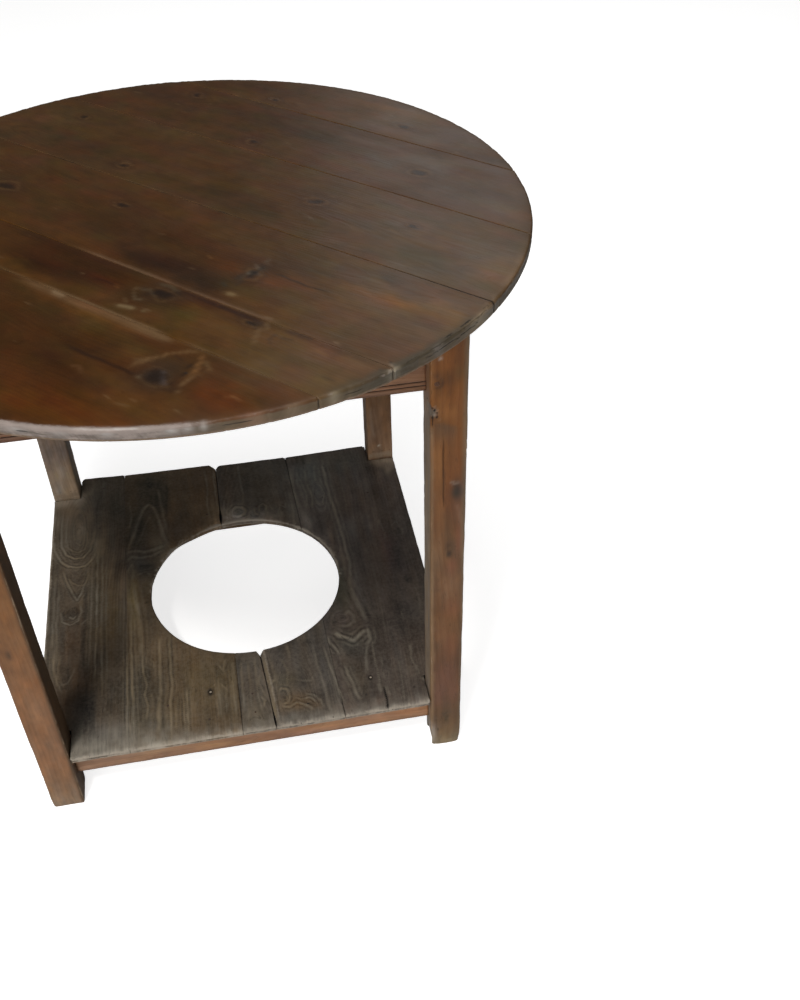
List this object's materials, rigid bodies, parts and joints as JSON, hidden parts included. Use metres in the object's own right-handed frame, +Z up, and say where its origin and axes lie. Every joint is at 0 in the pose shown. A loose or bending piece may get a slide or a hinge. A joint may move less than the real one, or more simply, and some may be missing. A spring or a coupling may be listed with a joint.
{
  "type": "round table",
  "caption": "Round plank-topped wooden table on a square leg base, with aprons, low rails and a low shelf cut with a round hole for a brazier pan.",
  "frame": {"origin": "on the floor, under the centre of the round top", "axes": "+Z up; X and Y square to the leg faces, -Y at the pictured front; the top boards run at 45 degrees between +X and -Y"},
  "size_m": [0.8669, 0.8669, 0.75],
  "materials": {
    "top_wood": "waxed old pine, semi-gloss, worn pale at the rim",
    "leg_wood": "waxed orange-brown pine, rubbed pale along the corners",
    "apron_wood": "waxed reddish-brown pine",
    "rail_wood": "rubbed orange pine, satin",
    "shelf_wood": "dry weathered grey-brown pine with raised pale grain",
    "hidden_wood": "unfinished aged pine, matt",
    "peg_wood": "dark end-grain peg",
    "nail_iron": "dull worn iron, slightly rusty"
  },
  "bodies": {
    "root": {"top_board_1": "top_wood", "top_board_2": "top_wood", "top_board_3": "top_wood", "top_board_4": "top_wood", "top_board_5": "top_wood", "top_board_6": "top_wood", "top_batten_left": "hidden_wood", "top_batten_right": "hidden_wood", "leg_front_left": "leg_wood", "leg_front_right": "leg_wood", "leg_back_left": "leg_wood", "leg_back_right": "leg_wood", "apron_front": "apron_wood", "apron_back": "apron_wood", "apron_left": "apron_wood", "apron_right": "apron_wood", "rail_front": "rail_wood", "rail_back": "rail_wood", "rail_left": "rail_wood", "rail_right": "rail_wood", "shelf_board_left": "shelf_wood", "shelf_board_left_centre": "shelf_wood", "shelf_board_rear_centre": "shelf_wood", "shelf_board_front_narrow": "shelf_wood", "shelf_board_front_wide": "shelf_wood", "shelf_board_right": "shelf_wood", "shelf_batten_rear": "hidden_wood", "shelf_batten_front": "hidden_wood", "apron_pegs": "peg_wood", "top_nails": "nail_iron", "top_batten_nails": "nail_iron", "batten_end_nails": "nail_iron", "shelf_nails": "nail_iron"}
  },
  "joints": []
}
